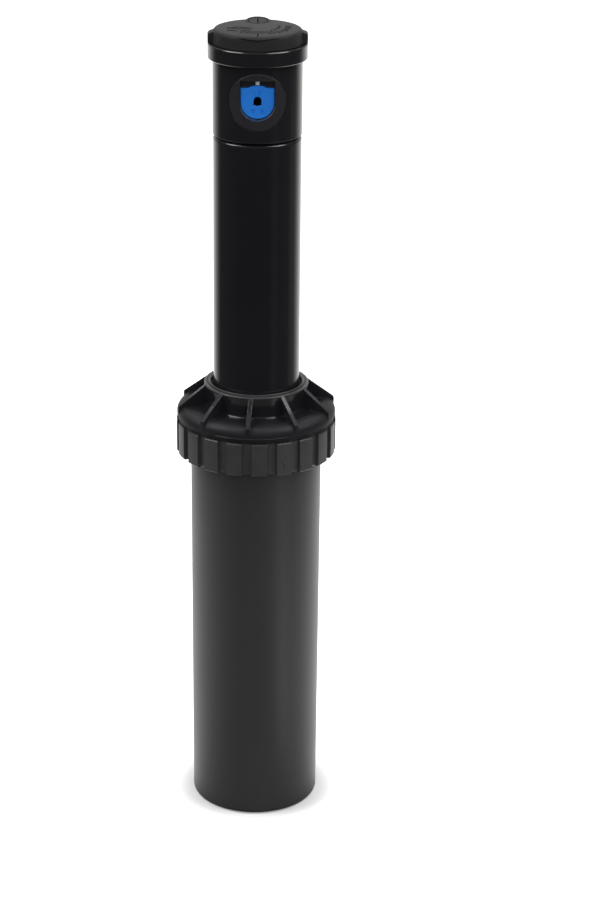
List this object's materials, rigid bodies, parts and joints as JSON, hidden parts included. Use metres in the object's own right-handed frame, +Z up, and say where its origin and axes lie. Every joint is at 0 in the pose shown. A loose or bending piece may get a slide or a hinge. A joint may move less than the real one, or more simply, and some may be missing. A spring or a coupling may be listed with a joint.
{
  "type": "pop up sprinkler",
  "caption": "Pop-up rotor sprinkler head: tall case with bottom threaded inlet, ribbed cap, spring-retracted riser, geared rotating turret with blue nozzle.",
  "frame": {"origin": "centre of the base, on the floor the case stands on", "axes": "+Z up the riser, the nozzle faces -Y at rest, riser popped up"},
  "size_m": [0.055, 0.055, 0.2808],
  "materials": {
    "case_plastic": "satin moulded charcoal",
    "cap_plastic": "semi-gloss moulded black",
    "riser_plastic": "glossy moulded black",
    "housing_plastic": "satin moulded dark grey",
    "blue_plastic": "moulded blue",
    "cover_rubber": "matte rubber",
    "seal_rubber": "matte rubber",
    "grey_plastic": "moulded dark grey",
    "ivory_plastic": "natural acetal",
    "bush_brass": "turned",
    "steel": "stainless"
  },
  "bodies": {
    "case": {"case_body": "case_plastic"},
    "seal_carrier": {"cap_gasket": "seal_rubber", "seal_retainer": "grey_plastic", "wiper_seal": "seal_rubber", "spring_seat": "steel", "retract_spring": "steel"},
    "cap": {"body_cap": "cap_plastic"},
    "riser": {"riser_tube": "riser_plastic", "filter_screen": "grey_plastic", "stator_plate": "grey_plastic", "bypass_spring": "steel", "bypass_guide": "grey_plastic", "shaft_bush": "bush_brass", "gearbox_base": "grey_plastic", "gearbox_seal": "seal_rubber", "gear_housing": "grey_plastic", "gearbox_lid": "grey_plastic", "riser_bearing": "grey_plastic", "turret_seal": "seal_rubber", "thrust_washers": "ivory_plastic", "trip_spring": "steel"},
    "poppet": {"bypass_poppet": "ivory_plastic"},
    "turbine": {"turbine_wheel": "ivory_plastic", "turbine_shaft": "steel", "sun_gear": "ivory_plastic"},
    "carrier_a": {"carrier_1": "ivory_plastic", "planet_pins_1": "steel"},
    "carrier_b": {"carrier_2": "ivory_plastic", "planet_pins_2": "steel"},
    "trip": {"trip_rod": "steel", "trip_lever": "ivory_plastic", "trip_crank": "ivory_plastic"},
    "selector": {"port_selector": "ivory_plastic"},
    "turret": {"turret_head": "riser_plastic", "turret_core": "housing_plastic", "turret_cover": "cover_rubber", "nozzle": "blue_plastic", "hollow_shaft": "grey_plastic", "shaft_clip": "steel", "output_carrier": "ivory_plastic", "planet_pins_3": "steel"},
    "arc_setter": {"arc_ring": "ivory_plastic"},
    "arc_key": {"arc_shaft": "ivory_plastic"},
    "radius_setter": {"radius_screw": "steel"},
    "gear_1a": {"planet_1a": "ivory_plastic"},
    "gear_1b": {"planet_1b": "ivory_plastic"},
    "gear_1c": {"planet_1c": "ivory_plastic"},
    "gear_2a": {"planet_2a": "ivory_plastic"},
    "gear_2b": {"planet_2b": "ivory_plastic"},
    "gear_2c": {"planet_2c": "ivory_plastic"},
    "gear_3a": {"planet_3a": "ivory_plastic"},
    "gear_3b": {"planet_3b": "ivory_plastic"},
    "gear_3c": {"planet_3c": "ivory_plastic"}
  },
  "joints": [
    {"name": "cap_lift", "type": "slide", "parent": "case", "child": "seal_carrier", "axis": [0, 0, 1], "range_m": [0, 0.0075]},
    {"name": "cap_turn", "type": "hinge", "parent": "seal_carrier", "child": "cap", "pos_m": [0, 0, 0.14], "axis": [0, 0, 1], "range_deg": [0, 900]},
    {"name": "pop_up", "type": "slide", "parent": "seal_carrier", "child": "riser", "axis": [0, 0, 1], "range_m": [-0.1118, 0], "deforming": ["retract_spring"]},
    {"name": "turret_turn", "type": "hinge", "parent": "riser", "child": "turret", "pos_m": [0, 0, 0.2445], "axis": [0, 0, 1], "range_deg": [0, 335]},
    {"name": "turbine_spin", "type": "hinge", "parent": "riser", "child": "turbine", "pos_m": [0, 0, 0.17], "axis": [0, 0, 1], "continuous": true},
    {"name": "carrier_a_spin", "type": "hinge", "parent": "riser", "child": "carrier_a", "pos_m": [0, 0, 0.185], "axis": [0, 0, 1], "continuous": true},
    {"name": "carrier_b_spin", "type": "hinge", "parent": "riser", "child": "carrier_b", "pos_m": [0, 0, 0.193], "axis": [0, 0, 1], "continuous": true},
    {"name": "planet_1a_spin", "type": "hinge", "parent": "carrier_a", "child": "gear_1a", "pos_m": [0.00552, 0, 0.1815], "axis": [0, 0, 1], "continuous": true},
    {"name": "planet_1b_spin", "type": "hinge", "parent": "carrier_a", "child": "gear_1b", "pos_m": [-0.00276, 0.00478, 0.1815], "axis": [0, 0, 1], "continuous": true},
    {"name": "planet_1c_spin", "type": "hinge", "parent": "carrier_a", "child": "gear_1c", "pos_m": [-0.00276, -0.00478, 0.1815], "axis": [0, 0, 1], "continuous": true},
    {"name": "planet_2a_spin", "type": "hinge", "parent": "carrier_b", "child": "gear_2a", "pos_m": [0.00552, 0, 0.1895], "axis": [0, 0, 1], "continuous": true},
    {"name": "planet_2b_spin", "type": "hinge", "parent": "carrier_b", "child": "gear_2b", "pos_m": [-0.00276, 0.00478, 0.1895], "axis": [0, 0, 1], "continuous": true},
    {"name": "planet_2c_spin", "type": "hinge", "parent": "carrier_b", "child": "gear_2c", "pos_m": [-0.00276, -0.00478, 0.1895], "axis": [0, 0, 1], "continuous": true},
    {"name": "planet_3a_spin", "type": "hinge", "parent": "turret", "child": "gear_3a", "pos_m": [0.00552, 0, 0.1975], "axis": [0, 0, 1], "continuous": true},
    {"name": "planet_3b_spin", "type": "hinge", "parent": "turret", "child": "gear_3b", "pos_m": [-0.00276, 0.00478, 0.1975], "axis": [0, 0, 1], "continuous": true},
    {"name": "planet_3c_spin", "type": "hinge", "parent": "turret", "child": "gear_3c", "pos_m": [-0.00276, -0.00478, 0.1975], "axis": [0, 0, 1], "continuous": true},
    {"name": "trip_toggle", "type": "hinge", "parent": "riser", "child": "trip", "pos_m": [0.0112, 0, 0.2], "axis": [0, 0, 1], "range_deg": [0, 30]},
    {"name": "selector_turn", "type": "hinge", "parent": "riser", "child": "selector", "pos_m": [0, 0, 0.152], "axis": [0, 0, 1], "range_deg": [-18.66, 0]},
    {"name": "arc_adjust", "type": "hinge", "parent": "turret", "child": "arc_key", "pos_m": [0, 0.0082, 0.26], "axis": [0, 0, 1], "range_deg": [-985.8, 0]},
    {"name": "arc_ring_turn", "type": "hinge", "parent": "turret", "child": "arc_setter", "pos_m": [0, 0, 0.247], "axis": [0, 0, 1], "range_deg": [0, 318.1]},
    {"name": "radius_adjust", "type": "slide", "parent": "turret", "child": "radius_setter", "axis": [0, 0, 1], "range_m": [-0.005, 0]},
    {"name": "bypass_lift", "type": "slide", "parent": "riser", "child": "poppet", "axis": [0, 0, 1], "range_m": [0, 0.0024], "stiffness_N_per_m": 400, "deforming": ["bypass_spring"]}
  ],
  "couplings": [
    {"joint": "cap_lift", "follows": "cap_turn", "m_per_rad": 0.00047746},
    {"joint": "turbine_spin", "follows": "turret_turn", "ratio": 64},
    {"joint": "carrier_a_spin", "follows": "turret_turn", "ratio": 16},
    {"joint": "carrier_b_spin", "follows": "turret_turn", "ratio": 4},
    {"joint": "planet_1a_spin", "follows": "turret_turn", "ratio": -48},
    {"joint": "planet_1b_spin", "follows": "turret_turn", "ratio": -48},
    {"joint": "planet_1c_spin", "follows": "turret_turn", "ratio": -48},
    {"joint": "planet_2a_spin", "follows": "turret_turn", "ratio": -12},
    {"joint": "planet_2b_spin", "follows": "turret_turn", "ratio": -12},
    {"joint": "planet_2c_spin", "follows": "turret_turn", "ratio": -12},
    {"joint": "planet_3a_spin", "follows": "turret_turn", "ratio": -3},
    {"joint": "planet_3b_spin", "follows": "turret_turn", "ratio": -3},
    {"joint": "planet_3c_spin", "follows": "turret_turn", "ratio": -3},
    {"joint": "selector_turn", "follows": "trip_toggle", "ratio": -0.62038},
    {"joint": "arc_ring_turn", "follows": "arc_adjust", "ratio": -0.32258}
  ]
}
